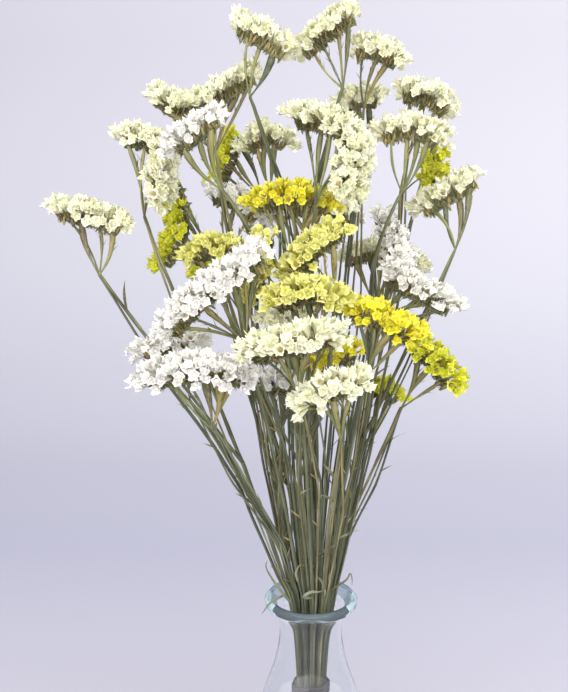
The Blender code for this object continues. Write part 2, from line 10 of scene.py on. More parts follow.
import bmesh
import bpy
import numpy as np
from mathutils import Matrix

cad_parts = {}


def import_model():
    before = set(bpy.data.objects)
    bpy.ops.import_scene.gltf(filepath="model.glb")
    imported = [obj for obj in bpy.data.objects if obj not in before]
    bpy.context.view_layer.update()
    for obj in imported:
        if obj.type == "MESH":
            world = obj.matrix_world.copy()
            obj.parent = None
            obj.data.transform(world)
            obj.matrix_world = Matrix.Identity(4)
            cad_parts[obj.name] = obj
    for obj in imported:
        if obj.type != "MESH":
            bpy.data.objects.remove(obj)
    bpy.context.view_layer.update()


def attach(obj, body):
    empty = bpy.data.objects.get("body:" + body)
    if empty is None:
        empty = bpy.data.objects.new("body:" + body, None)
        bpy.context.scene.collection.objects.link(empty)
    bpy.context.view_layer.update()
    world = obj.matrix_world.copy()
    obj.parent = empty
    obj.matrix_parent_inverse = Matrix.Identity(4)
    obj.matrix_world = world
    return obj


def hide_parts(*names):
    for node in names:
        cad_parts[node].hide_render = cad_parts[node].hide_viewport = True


MM = 0.001

# Vase
VASE_HEIGHT = 184.0
VASE_SIDES = 96
PROFILE_STEP = 3.5
AXIS_HOLE = 0.3
LIP_RADIUS = 34.0
TINTED_LIP = 5.5
NECK_RADIUS = 23.5
BELLY_RADIUS = 45.0
FOOT_RADIUS = 38.0
WALL = 3.0
FLOOR = 6.0

# Bundle of stems
TIE_HEIGHT = 112.0
TIE_WIDTH = 9.0
TIE_THICKNESS = 2.2
TIE_GAP = 0.65
TIE_SIDES = 96
TIE_STRANDS = 3
STRAND_SIDES = 12
SLOT_PITCH = 4.45
STEM_RADIUS = 2.1
BRANCH_RADIUS = 1.5
FOOT_SPREAD = 1.4
FOOT_GAP = 0.7
NECK_SPREAD = 1.55
SLOT_REACH = 4
SLOT_OFFSET = (0.8, 0.5)
TRUNK_RADIUS = 1.35
TWIG_RADIUS = 1.1
SIDE_STEM_RADIUS = 0.88
SIDE_STEM_GAP = 1.45

# The side stems spread from this far below the vase's top, over this rise
SPREAD_BELOW = 20.0
SPREAD_RISE = 120.0

# How the stems are moved apart
LEVEL_STEP = 6.0
CLEARANCE = 1.3
COMB_CLEARANCE = 2.0
END_CLEARANCE = 2.0
RELAX_ROUNDS = 240
LAST_ROUNDS = 60
LONGEST_PUSH = 3.0
EASE = 0.25
LAST_EASE = 0.15

# Flower combs
COMB_DROP = 6.0
WEDGE_LENGTH = 36.0
FRAME_PITCH = 16.0
CALYX_PITCH = 4.0
CALYX_LENGTH = 13.4
CALYX_RADIUS = 3.3
WEDGE_PITCH = 10.0
SPIKELET_PITCH = 6.0
TUFT_PITCH = 14.0
# Combs below the first girth have a row less, and those from the second on a row more
SMALL_GIRTH = 0.85
LARGE_GIRTH = 1.15
# The share of the dry flowers that have their calyx's colour
PALE_FLOWERS = 0.93

# A comb's ball at each frame: its lift, its radius and what a girth of 1 adds to that
HEAD_LIFT = 5.0
HEAD_RADIUS = 9.5
HEAD_GIRTH = 4.5
# Balls along each wedge of a comb: the share of its length that they stand at, and their radius
WEDGE_BALLS = ((0.0, 3.5), (0.35, 3.5), (0.7, 7.0))

# How the combs are slid apart: rounds, the share of each overlap that a round takes up, and the share
# of each slide that it keeps
SETTLE_ROUNDS = 160
SETTLE_SHARE = 0.3
SETTLE_KEPT = 0.997

# The point that the bunch is drawn from, how far that view is pitched down, the picture's size and
# focal length in pixels, and the middle of the vase's neck
EYE = np.array((-20.0, -596.0, 465.0))
EYE_PITCH = math.radians(9)
PICTURE_WIDTH = 568
PICTURE_HEIGHT = 692
FOCAL_LENGTH = 853
NECK = np.array((0.0, 0.0, VASE_HEIGHT - 4.0))

# Backdrop: a floor from the front to where the curve starts, the curve and the wall
STAGE_FRONT = -2200.0
STAGE_CURVE_START = 900.0
STAGE_CURVE = 900.0
STAGE_TOP = 3200.0
STAGE_HALF_WIDTH = 4000.0

# The height of the camera's sensor in millimetres, and the point in metres that the lights are aimed at
SENSOR_MM = 36.0
LIT_POINT = (0, 0, 0.4)

# The name of each comb, its girth (1 for one of middle size) and the points that its middle line passes
# through: across, depth and height. Its colour is the one that its name starts with, or else cream.
COMBS = {
    "top_left": (1.0, ((-50, 2, 590), (-36, 5, 583), (-22, 2, 575))),
    "top_middle": (1.0, ((-4, 20, 578), (10, 15, 589), (27, 12, 599))),
    "top_right": (1.0, ((32, 26, 580), (43, 22, 578), (56, 18, 571))),
    "top_inner": (0.9, ((24, 56, 543), (36, 59, 550), (48, 56, 549))),
    "right_high": (1.0, ((65, 24, 549), (77, 21, 549), (91, 21, 539))),
    "right_inner": (1.0, ((49, 0, 519), (66, -4, 523), (83, 0, 516))),
    "right_far": (1.0, ((80, 15, 470), (96, 10, 478), (114, 15, 490))),
    "left_high": (1.0, ((-109, 24, 547), (-92, 20, 537), (-70, 22, 545), (-42, 26, 562))),
    "left_bend": (0.9, ((-127, -10, 516), (-108, -12, 513), (-103, -20, 497), (-106, -26, 478))),
    "left_far": (1.0, ((-169, -18, 468), (-149, -22, 464), (-131, -22, 458))),
    "inner_small": (0.9, ((-44, 34, 514), (-34, 32, 522), (-21, 30, 516))),
    "centre_bend": (1.2, ((-10, -8, 528), (14, -20, 523), (24, -28, 505), (16, -40, 482))),
    "white_top": (0.9, ((-87, -42, 508), (-74, -45, 517), (-62, -42, 526))),
    "white_middle": (1.0, ((-70, 34, 479), (-56, 26, 475), (-42, 24, 464))),
    "lime_left": (0.8, ((-95, 18, 488), (-90, 10, 466), (-91, 5, 450), (-101, 0, 434))),
    "lime_left_high": (0.8, ((-54, 58, 525), (-60, 56, 504), (-66, 54, 492))),
    "lime_back": (1.0, ((-82, 72, 420), (-60, 84, 432), (-38, 86, 424))),
    "gold_inner": (1.0, ((-36, -8, 472), (-16, -15, 478), (8, -12, 472))),
    "gold_back": (1.1, ((-22, 100, 384), (4, 108, 396), (30, 100, 388))),
    "lemon_high": (1.0, ((14, -62, 455), (1, -66, 446), (-13, -64, 430))),
    "lemon_drop": (0.8, ((-29, -44, 450), (-34, -48, 436), (-36, -48, 420))),
    "lemon_left": (0.9, ((-78, -36, 438), (-66, -40, 444), (-54, -38, 442))),
    "white_bend": (1.2, ((-86, -76, 397), (-70, -76, 415), (-52, -72, 426), (-34, -74, 441))),
    "lemon_front": (1.0, ((-22, -88, 414), (-7, -92, 420), (10, -86, 415))),
    "cream_inner": (0.8, ((-30, -66, 396), (-19, -68, 401), (-8, -66, 399))),
    "cream_front": (1.0, ((-36, -98, 385), (-17, -105, 390), (8, -98, 395))),
    "white_low": (1.2, ((-100, -84, 366), (-72, -92, 373), (-44, -88, 368))),
    "white_low_back": (1.0, ((-108, -48, 376), (-93, -50, 382), (-78, -50, 381))),
    "white_low_right": (0.8, ((-33, -64, 360), (-21, -67, 358), (-8, -66, 354))),
    "cream_low": (1.0, ((-2, -106, 358), (9, -110, 366), (22, -106, 367))),
    "gold_right": (1.1, ((24, -68, 405), (39, -78, 401), (58, -74, 391))),
    "gold_low": (0.9, ((4, -50, 368), (14, -54, 374), (25, -50, 378))),
    "white_right": (1.1, ((48, 14, 461), (58, 2, 440), (53, -14, 423), (70, -26, 414), (90, -24, 405))),
    "lime_right": (1.0, ((70, -18, 375), (80, -25, 368), (90, -28, 354))),
    "lime_high": (0.8, ((90, 48, 510), (89, 46, 498), (87, 42, 484))),
    "lime_inner": (0.8, ((38, 22, 336), (49, 18, 339), (61, 18, 333))),
    "white_back": (1.1, ((30, 82, 462), (4, 92, 474), (-26, 86, 464))),
    "cream_back": (1.1, ((82, 72, 424), (58, 86, 436), (34, 92, 430))),
}

# The name of each plant, the share of its height at which it forks, if it does, and the combs that it
# bears
PLANTS = {
    "top_left": (0.70, ("top_left", "top_middle")),
    "top_right": (0.75, ("top_right", "top_inner")),
    "right": (0.45, ("right_high", "right_inner", "right_far")),
    "left_high": (None, ("left_high",)),
    "left_wide": (0.45, ("left_bend", "left_far")),
    "centre": (0.6, ("inner_small", "centre_bend")),
    "white_top": (0.6, ("white_top", "white_middle")),
    "lime_left": (0.4, ("lime_left", "lime_left_high", "lime_back")),
    "gold": (0.35, ("gold_inner", "gold_back")),
    "lemon": (0.5, ("lemon_high", "lemon_drop", "lemon_left")),
    "white_bend": (None, ("white_bend",)),
    "lemon_front": (0.6, ("lemon_front", "cream_inner")),
    "cream_front": (None, ("cream_front",)),
    "white_low": (0.4, ("white_low", "white_low_back", "white_low_right")),
    "cream_low": (None, ("cream_low",)),
    "gold_right": (0.5, ("gold_right", "gold_low")),
    "white_right": (None, ("white_right",)),
    "lime_right": (0.3, ("lime_right", "lime_high", "lime_inner")),
    "white_back": (None, ("white_back",)),
    "cream_back": (None, ("cream_back",)),
}

# Combs on tan stalks
TAN_COMBS = ("left_high", "left_far", "left_bend", "inner_small")

# Curled dry leaves at the vase's mouth: width, then the points that they pass in the picture, each
# across and down in pixels with its depth
CURLED_LEAVES = (
    (2.2, ((309, 606, -20), (304, 597, -26), (311, 592, -29), (319, 592, -30), (326, 589, -27))),
    (1.6, ((325, 604, -20), (325, 592, -26), (322, 582, -27), (317, 577, -25), (315, 582, -22))),
    (2.0, ((292, 608, -14), (281, 591, -20), (271, 577, -21), (266, 567, -18), (267, 561, -14))),
    (1.6, ((290, 596, -16), (277, 599, -20), (270, 603, -25), (264, 611, -31), (262, 614, -33))),
    (1.5, ((340, 596, -8), (346, 580, -14), (350, 573, -16), (352, 578, -17), (352, 585, -16))),
    (1.6, ((300, 590, -20), (296, 574, -25), (300, 565, -27), (305, 567, -26))),
    (1.5, ((322, 560, -20), (330, 548, -26), (337, 545, -28), (341, 550, -27))),
)


# Small helpers


def new_object(name, data):
    """A new object in the scene."""
    obj = bpy.data.objects.new(name, data)
    bpy.context.scene.collection.objects.link(obj)
    return obj


def seen_at(across, down, depth):
    """The point at this depth that the picture shows at this pixel."""
    rise = (PICTURE_HEIGHT / 2 - down) / FOCAL_LENGTH
    way = np.array((
        (across - PICTURE_WIDTH / 2) / FOCAL_LENGTH,
        math.cos(EYE_PITCH) + rise * math.sin(EYE_PITCH),
        rise * math.cos(EYE_PITCH) - math.sin(EYE_PITCH),
    ))
    return EYE + way * ((depth - EYE[1]) / way[1])


def unit(vector):
    """The vector at length 1."""
    return vector / max(np.linalg.norm(vector), 1e-9)


def headings(line):
    """The direction of a line at each of its points."""
    last = len(line) - 1
    return np.array([unit(line[min(i + 1, last)] - line[max(i - 1, 0)]) for i in range(last + 1)])


def squared(way, along):
    """A direction turned square to another."""
    return unit(way - along * (way @ along))


def carried(alongs, start, first=0):
    """A direction square to a line at each of its points, carried untwisted from one of them."""
    ways = [start] * len(alongs)
    for i in [*range(first, len(alongs)), *range(first - 1, -1, -1)]:
        near = start if i == first else ways[i - 1] if i > first else ways[i + 1]
        ways[i] = squared(near, alongs[i])
    return np.array(ways)


def full_circle(count):
    """Even turns round a circle."""
    return np.linspace(0, math.tau, count, endpoint=False)


def any_way_across(rise, rng):
    """A random direction square to a rising one."""
    turn = rng.uniform(0, math.tau)
    return squared(np.array((math.cos(turn), math.sin(turn), 0.0)), rise)


def smooth_line(points, step):
    """Points at even steps of about this length on a smooth curve through the given points."""
    points = np.array(points, float)
    ends = [2 * points[0] - points[1], *points, 2 * points[-1] - points[-2]]
    dense = []
    for before, low, high, after in zip(ends, ends[1:], ends[2:], ends[3:]):
        for t in np.linspace(0, 1, 12, endpoint=False):
            slope = (high - before) * t
            bend = (2 * before - 5 * low + 4 * high - after) * t**2
            twist = (3 * low - before - 3 * high + after) * t**3
            dense.append(low + 0.5 * (slope + bend + twist))
    dense = np.array([*dense, points[-1]])
    lengths = np.linalg.norm(np.diff(dense, axis=0), axis=1)
    run = np.concatenate([[0], np.cumsum(lengths)])
    even = np.linspace(0, run[-1], max(2, round(run[-1] / step) + 1))
    return np.stack([np.interp(even, run, dense[:, k]) for k in range(3)], axis=1)


# Where the combs are


def comb_frames(spine):
    """(point, along, side, up) along a comb's seat. Up leans away from the vase's neck, untwisted."""
    line = smooth_line(spine, FRAME_PITCH) - (0, 0, COMB_DROP)
    lean = unit(unit(line.mean(axis=0) - NECK) * 0.7 + np.array((0, 0, 0.5)))
    alongs = headings(line)
    first = min(range(len(line)), key=lambda i: abs(lean @ alongs[i]))
    ups = carried(alongs, lean, first)
    return [(p, a, np.cross(a, u), u) for p, a, u in zip(line, alongs, ups)]


def comb_foot(frames):
    """The point where a branch divides into the wedges of a comb."""
    middle = np.mean([f[0] for f in frames], axis=0)
    down = unit(np.mean([f[3] for f in frames], axis=0) + unit(middle - NECK))
    return middle - down * WEDGE_LENGTH


def head_balls(frames, girth):
    """Balls that fill a comb and its wedges: centre and radius."""
    foot = comb_foot(frames)
    balls = []
    for point, _, _, up in frames:
        balls.append((*(point + up * HEAD_LIFT), HEAD_RADIUS + HEAD_GIRTH * girth))
        balls += [(*(foot + (point - foot) * share), radius) for share, radius in WEDGE_BALLS]
    return balls


def settled_combs():
    """The frames of every comb, slid along the line of sight until the combs clear each other."""
    names = list(COMBS)
    rows = []
    for index, (girth, spine) in enumerate(COMBS.values()):
        rows += [(*ball, index) for ball in head_balls(comb_frames(spine), girth)]
    rows = np.array(rows)
    owner = rows[:, 4].astype(int)
    depth = np.array([rows[owner == i, 1].mean() + 0.01 * i for i in range(len(names))])
    order = np.sign(depth[owner][:, None] - depth[owner][None])
    need = rows[:, None, 3] + rows[None, :, 3]
    scale = np.ones(len(names))
    for _ in range(SETTLE_ROUNDS):
        place = EYE + (rows[:, :3] - EYE) * scale[owner][:, None]
        gap = place[:, None] - place[None]
        want = np.sqrt(np.clip(need**2 - gap[..., 0] ** 2 - gap[..., 2] ** 2, 0, None))
        short = np.where((want > 0) & (order != 0), np.clip(want - order * gap[..., 1], 0, None), 0)
        for i in range(len(names)):
            mine = short[owner == i]
            signs = order[owner == i]
            move = (mine * (signs > 0)).max() - (mine * (signs < 0)).max()
            scale[i] += SETTLE_SHARE * move / -EYE[1]
        scale = 1 + (scale - 1) * SETTLE_KEPT
    return {
        name: comb_frames(EYE + (np.array(COMBS[name][1]) - EYE) * s) for name, s in zip(names, scale)
    }


# Where the stems run


def bundle_slots(count):
    """Places for the stems in the tie, in a hexagonal packing, from the middle outwards."""
    reach = range(-SLOT_REACH, SLOT_REACH + 1)
    across, deep = SLOT_OFFSET
    grid = [
        ((i + 0.5 * (j % 2)) * SLOT_PITCH + across, j * math.sqrt(0.75) * SLOT_PITCH + deep)
        for i in reach
        for j in reach
    ]
    return np.array(sorted(grid, key=lambda p: p[0] ** 2 + p[1] ** 2)[:count])


def assigned_slots(targets):
    """A slot for each plant, so that the stems keep their order from the tie to the heads."""
    slots = bundle_slots(len(targets))
    wanted = targets * (np.abs(slots).max() / np.abs(targets).max())
    cost = ((wanted[:, None] - slots[None]) ** 2).sum(axis=2)
    order = list(range(len(targets)))
    better = True
    while better:
        better = False
        for i in range(len(order)):
            for j in range(i):
                now = cost[i, order[i]] + cost[j, order[j]]
                swapped = cost[i, order[j]] + cost[j, order[i]]
                if swapped < now - 1e-6:
                    order[i], order[j] = order[j], order[i]
                    better = True
    return slots[order]


class Column:
    """One stem or branch from a start up to an end. It bears a comb, or forks where comb is None."""

    def __init__(self, plant, comb, start, end, radius, bow):
        self.plant, self.comb, self.radius, self.bow = plant, comb, radius, bow
        self.start, self.end = np.array(start, float), np.array(end, float)
        self.line = None


def first_columns(feet, slots):
    """The trunk and branches of every plant, before they are moved apart."""
    columns = []
    for slot, (plant, (share, names)) in zip(slots, PLANTS.items()):
        start = np.array((*(slot * NECK_SPREAD), NECK[2]))
        if len(names) == 1:
            columns.append(Column(plant, names[0], start, feet[names[0]], STEM_RADIUS, 0.35))
            continue
        lowest = min(feet[n][2] for n in names)
        mean = np.mean([feet[n] for n in names], axis=0)
        rise = lowest - start[2]
        lean = (0.55 * share + 0.45 * share**2) * rise / (mean[2] - start[2])
        fork = (*(start[:2] + (mean[:2] - start[:2]) * lean), start[2] + share * rise)
        columns.append(Column(plant, None, start, fork, STEM_RADIUS, 0.25))
        columns += [Column(plant, n, fork, feet[n], BRANCH_RADIUS, 0.0) for n in names]
    return columns


def level_places(columns, levels):
    """The place of each column across and in depth at each level, and the levels that it runs through."""
    starts = np.array([c.start for c in columns])
    ends = np.array([c.end for c in columns])
    share = np.clip((levels - starts[:, 2:]) / (ends[:, 2:] - starts[:, 2:]), 0, 1)
    bow = np.array([c.bow for c in columns])[:, None]
    ease = (1 - bow) * share + bow * share**2
    place = starts[:, None, :2] + (ends - starts)[:, None, :2] * ease[..., None]
    live = (levels > starts[:, 2:] + END_CLEARANCE) & (levels < ends[:, 2:] - END_CLEARANCE)
    return place, live


def push_out(gap, need):
    """Half of what a gap lacks of the length that it needs, along the gap."""
    far = np.maximum(np.linalg.norm(gap, axis=-1), 1e-6)
    return 0.5 * (np.clip(need - far, 0, None) / far)[..., None] * gap


def relax(columns, combs):
    """Moves the columns apart in the level, and clear of other combs, while their ends stay."""
    levels = np.arange(NECK[2], max(c.end[2] for c in columns) + LEVEL_STEP, LEVEL_STEP)
    place, live = level_places(columns, levels)
    fixed = place.copy()
    run = np.array([c.end - c.start for c in columns])
    stretch = np.sqrt(1 + (run[:, :2] ** 2).sum(axis=1) / run[:, 2] ** 2)
    radii = np.array([c.radius for c in columns])
    need = (radii[:, None] + radii[None] + CLEARANCE) * np.maximum(stretch[:, None], stretch[None])
    plants = np.array([list(PLANTS).index(c.plant) for c in columns])
    meets = (plants[:, None] != plants[None])[..., None] & live[:, None] & live[None]
    hits = []
    for name, frames in combs.items():
        for x, y, z, radius in head_balls(frames, COMBS[name][0]):
            for i, column in enumerate(columns):
                if column.comb == name:
                    continue
                wide = (radius + COMB_CLEARANCE + column.radius) ** 2 - (levels - z) ** 2
                hits += [(i, k, x, y, math.sqrt(wide[k])) for k in np.flatnonzero(live[i] & (wide > 0))]
    hits = np.array(hits)
    at = hits[:, 0].astype(int), hits[:, 1].astype(int)
    for turn in range(RELAX_ROUNDS):
        pushes = push_out(place[:, None] - place[None], need[..., None])
        push = (pushes * meets[..., None]).sum(axis=1)
        np.add.at(push, at, push_out(place[at] - hits[:, 2:4], hits[:, 4]))
        place += np.clip(push, -LONGEST_PUSH, LONGEST_PUSH)
        ease = EASE if turn < RELAX_ROUNDS - LAST_ROUNDS else LAST_EASE
        place[:, 1:-1] += ease * (place[:, :-2] + place[:, 2:] - 2 * place[:, 1:-1])
        place = np.where(live[..., None], place, fixed)
    for i, column in enumerate(columns):
        middle = np.column_stack([place[i][live[i]], levels[live[i]]])
        column.line = np.array([column.start, *middle, column.end])


def lay_out():
    """The frames of the combs, the slots of the plants in the tie, and every stem and branch."""
    combs = settled_combs()
    feet = {name: comb_foot(frames) for name, frames in combs.items()}
    means = np.array([np.mean([feet[n][:2] for n in names], axis=0) for _, names in PLANTS.values()])
    slots = assigned_slots(means)
    columns = first_columns(feet, slots)
    relax(columns, combs)
    return combs, slots, columns


# Meshes


# U starts at a random whole number below this one, which tells the parts of a piece apart
TINTS = 90


class Sheets:
    """Grids of quads in millimetres that become one mesh, each grid with a material and its own UVs."""

    def __init__(self):
        self.points, self.faces, self.uvs, self.slots = [], [], [], []
        self.count = 0

    def grid(self, rows, slot, rng=None, closed=True):
        """Adds rows of points. U runs round each row, from a random whole number, and V along the rows."""
        tint = rng.randrange(TINTS) if rng else 0
        rows = np.asarray(rows, float)
        high, wide = rows.shape[:2]
        i, j = np.meshgrid(np.arange(high - 1), np.arange(wide if closed else wide - 1), indexing="ij")
        i, j = i.ravel(), j.ravel()
        after = (j + 1) % wide
        low, top = i * wide, (i + 1) * wide
        quads = np.stack([low + j, low + after, top + after, top + j], axis=1)
        u, v = j / wide, i / (high - 1)
        du, dv = 1 / wide, 1 / (high - 1)
        corners = [(u, v), (u + du, v), (u + du, v + dv), (u, v + dv)]
        uvs = np.stack([np.stack([a + tint, b], axis=1) for a, b in corners], axis=1)
        self.uvs.append(uvs.reshape(-1, 2))
        self.points.append(rows.reshape(-1, 3))
        self.faces.append(quads + self.count)
        self.slots.append(np.full(len(quads), slot))
        self.count += high * wide

    def build(self, name, materials):
        """One smooth object of all the grids."""
        mesh = bpy.data.meshes.new(name)
        points = np.concatenate(self.points) * MM
        mesh.from_pydata(points.tolist(), [], np.concatenate(self.faces).tolist())
        mesh.uv_layers.new(name="UVMap").data.foreach_set("uv", np.concatenate(self.uvs).ravel())
        mesh.polygons.foreach_set("material_index", np.concatenate(self.slots).astype(np.int32))
        mesh.polygons.foreach_set("use_smooth", np.ones(len(mesh.polygons), bool))
        for made in materials:
            mesh.materials.append(made)
        return new_object(name, mesh)


def axes(line):
    """Two directions square to a line at each of its points, untwisted."""
    alongs = headings(line)
    sides = carried(alongs, unit(np.cross((0.13, 1, 0.07), alongs[0])))
    return sides, np.cross(alongs, sides)


# The materials of a plant, in their order on the mesh
STEM, GREEN_BRACT, BROWN_BRACT, TAN_STEM, DRY_LEAF = range(5)
BRACTS = (GREEN_BRACT, BROWN_BRACT)

# A stem's sides, how many there are to each wing, and their reach as a share of the radius
STEM_SIDES = 12
WING_EVERY = 3
WING_REACH = 1.12
HOLLOW_REACH = 0.62


def winged_stem(sheets, line, low, high, rng, slot=STEM):
    """A stem with four thin ruffled wings along a line, tapering from one radius to another."""
    sides, others = axes(line)
    share = np.linspace(0, 1, len(line))
    radius = low + (high - low) * share
    phase = rng.uniform(0, 6.3)
    rows = []
    for k, turn in enumerate(full_circle(STEM_SIDES)):
        wing = k % WING_EVERY == 0
        wave = 1 + (0.10 * np.sin(share * len(line) * 0.9 + phase + k) if wing else 0 * share)
        reach = (radius * (WING_REACH if wing else HOLLOW_REACH) * wave)[:, None]
        twist = (turn + phase + 1.2 * share)[:, None]
        rows.append(line + sides * (np.cos(twist) * reach) + others * (np.sin(twist) * reach))
    sheets.grid(np.array(rows).transpose(1, 0, 2), slot, rng)


def strip(sheets, middle, edge, fold, slot, rng):
    """A leaf along a middle line, with its edges to both sides and its middle moved out by the fold."""
    rows = np.stack([middle - edge, middle + fold, middle + edge], axis=1)
    sheets.grid(rows, slot, rng, closed=False)


# A scale's half width, as a share of its widest, at shares of its length
BRACT_SHARES = np.array((0.0, 0.35, 0.7, 1.0))
BRACT_SPANS = np.array((0.5, 1.0, 0.62, 0.04))


def bract(sheets, root, reach, out, length, width, slot, rng):
    """A pointed scale, folded along its middle."""
    edge = unit(np.cross(reach, out)) * (width / 2)
    curl = rng.uniform(-0.10, 0.25)
    shares = BRACT_SHARES[:, None]
    spans = BRACT_SPANS[:, None]
    middle = root + reach * (length * shares) + out * (length * curl * shares**2)
    strip(sheets, middle, edge * spans, -out * (0.35 * spans), slot, rng)


CALYX_SIDES = 20
FLOWER_SIDES = 8
CALYX_ROUND = full_circle(CALYX_SIDES)
FLOWER_ROUND = full_circle(FLOWER_SIDES)
PLEAT = np.where(np.arange(CALYX_SIDES) % 2 == 0, 1.0, -1.0)
# Each ring's radius and its height above the root, as shares of the rim's radius and of the length
CALYX_RINGS = ((0.18, 0.35), (0.44, 0.85), (0.76, 0.96), (1.00, 1.00))
# The same for the dry flower in the throat
FLOWER_RINGS = ((0.50, 0.89), (0.25, 0.90), (0.02, 0.95))
# The share of the rim's radius where the funnel flares, and the depth of its lobes as such a share
FLARE_START = 0.3
LOBE_DEPTH = 0.12
# Ranges: how ragged each rim point is, as a share of the radius, and the rim's ruffles in millimetres
RAGGED = (-0.19, 0.15)
FOLDS = (0.8, 2.1)
FRILLS = (0.5, 1.0)
PLEATS = (0.25, 0.5)
CUPS = (-0.8, 1.4)


def ways_round(reach, side, turns):
    """Directions square to the reach at these turns from the side."""
    other = np.cross(reach, side)
    return side[None] * np.cos(turns)[:, None] + other[None] * np.sin(turns)[:, None]


def calyx(sheets, root, reach, side, length, radius, rng):
    """A papery funnel: a narrow tube that opens into five ruffled lobes."""
    phase = rng.uniform(0, math.tau)
    lobes = LOBE_DEPTH * np.cos(5 * CALYX_ROUND + phase)
    ragged = np.array([rng.uniform(*RAGGED) for _ in CALYX_ROUND])
    fold = rng.uniform(*FOLDS) * np.cos(rng.choice((2, 3)) * CALYX_ROUND + rng.uniform(0, 6))
    frill = rng.uniform(*FRILLS) * np.cos(rng.choice((6, 7, 8)) * CALYX_ROUND + rng.uniform(0, 6))
    ruffle = PLEAT * rng.uniform(*PLEATS) + fold + frill + rng.uniform(*CUPS)
    ways = ways_round(reach, side, CALYX_ROUND)
    rows = []
    for share, rise in CALYX_RINGS:
        flare = max(0.0, (share - FLARE_START) / (1 - FLARE_START))
        wide = radius * (share + flare * (lobes + ragged))
        high = length * rise + flare**1.4 * ruffle
        rows.append(root + ways * wide[:, None] + reach * high[:, None])
    sheets.grid(rows, PETAL, rng)


def dry_flower(sheets, root, reach, side, length, radius, slot, rng):
    """The small dry flower that fills a calyx's throat: crumpled petals round a point."""
    ways = ways_round(reach, side, FLOWER_ROUND + rng.uniform(0, 1))
    pleat = PLEAT[:FLOWER_SIDES]
    rows = []
    for share, rise in FLOWER_RINGS:
        wide = radius * share * (1 + 0.12 * pleat)
        high = length * rise + 0.5 * share * pleat
        rows.append(root + ways * wide[:, None] + reach * high[:, None])
    sheets.grid(rows, slot, rng)


def along_comb(frames, place):
    """The point, along, side and up at this place on a comb, counted in frames."""
    low = min(int(place), len(frames) - 2)
    point, *ways = [a + (b - a) * (place - low) for a, b in zip(frames[low], frames[low + 1])]
    return point, *[unit(way) for way in ways]


def comb_length(frames):
    """The length of a comb's middle line."""
    return (len(frames) - 1) * np.linalg.norm(frames[1][0] - frames[0][0])


def comb_places(frames, girth, rng):
    """Where each calyx of a comb stands: its root, its way and the comb's direction there."""
    rows = 7 if girth < SMALL_GIRTH else 8 if girth < LARGE_GIRTH else 9
    widest = math.radians(62 if girth < SMALL_GIRTH else 72)
    made = []
    for row in range(rows):
        fan = widest * (2 * row / (rows - 1) - 1)
        count = max(3, round(comb_length(frames) / CALYX_PITCH) + 1)
        for k in range(count):
            share = (k + 0.5 * (row % 2)) / (count - 0.5) + rng.uniform(-0.03, 0.03)
            share = min(max(share, 0), 1)
            point, along, side, up = along_comb(frames, share * (len(frames) - 1))
            splay = 0.75 * (2 * share - 1) ** 3 + rng.uniform(-0.32, 0.32)
            tilt = fan + rng.uniform(-0.4, 0.4)
            reach = unit(up * math.cos(tilt) + side * math.sin(tilt) + along * splay)
            made.append((point + up * 1.6, reach, along))
    return made


# Materials


BLACK = (0, 0, 0)
WHITE = (1, 1, 1)


def new_material(name):
    """A new material with its node tree and its shader."""
    made = bpy.data.materials.new(name)
    made.use_nodes = True
    return made, made.node_tree, made.node_tree.nodes["Principled BSDF"]


def put(socket, value):
    """Links a socket, or sets its value."""
    if isinstance(value, bpy.types.NodeSocket):
        socket.id_data.links.new(value, socket)
    elif socket.type == "RGBA":
        socket.default_value = (*value, 1)
    else:
        socket.default_value = value


def fill(node, **inputs):
    """Gives a node these input values or links."""
    for name, value in inputs.items():
        put(node.inputs[name.replace("_", " ")], value)


def linked(tree, kind, **inputs):
    """A new node with these input values or links."""
    node = tree.nodes.new(kind)
    fill(node, **inputs)
    return node


def ramp(tree, source, stops):
    """A colour ramp over a value."""
    node = linked(tree, "ShaderNodeValToRGB", Fac=source)
    elements = node.color_ramp.elements
    elements.remove(elements[1])
    elements[0].position = stops[0][0]
    elements[0].color = (*stops[0][1], 1)
    for place, colour in stops[1:]:
        elements.new(place).color = (*colour, 1)
    return node.outputs["Color"]


def mixed(tree, share, first, second, blend="MIX"):
    """A mix of two colours."""
    node = tree.nodes.new("ShaderNodeMix")
    node.data_type = "RGBA"
    node.blend_type = blend
    for index, value in ((0, share), (6, first), (7, second)):
        put(node.inputs[index], value)
    return node.outputs[2]


def two_ways(tree, kind, output):
    """The first two coordinates of the surface, in UV or in space, from this output of a node."""
    split = linked(tree, "ShaderNodeSeparateXYZ", Vector=tree.nodes.new(kind).outputs[output])
    return split.outputs["X"], split.outputs["Y"]


def noise(tree, scale):
    """Noise in the object's own space."""
    place = tree.nodes.new("ShaderNodeTexCoord").outputs["Object"]
    node = linked(tree, "ShaderNodeTexNoise", Vector=place, Scale=scale, Detail=3.0, Roughness=0.55)
    return node.outputs["Fac"]


def bumped(tree, height, strength, distance):
    """The surface's direction over bumps of this height."""
    node = linked(tree, "ShaderNodeBump", Height=height, Strength=strength, Distance=distance)
    return node.outputs["Normal"]


def facing(tree, blend, stops):
    """A colour ramp from where the surface faces the eye to its edge."""
    return ramp(tree, linked(tree, "ShaderNodeLayerWeight", Blend=blend).outputs["Facing"], stops)


def math_node(tree, operation, *values):
    """The result of one operation on these values."""
    node = tree.nodes.new("ShaderNodeMath")
    node.operation = operation
    for socket, value in zip(node.inputs, values):
        put(socket, value)
    return node.outputs[0]


def own_shade(tree, u):
    """A random value for each part, from the whole number that its U starts at."""
    whole = linked(tree, "ShaderNodeCombineXYZ", X=math_node(tree, "FLOOR", u))
    return linked(tree, "ShaderNodeTexWhiteNoise", Vector=whole.outputs["Vector"]).outputs["Value"]


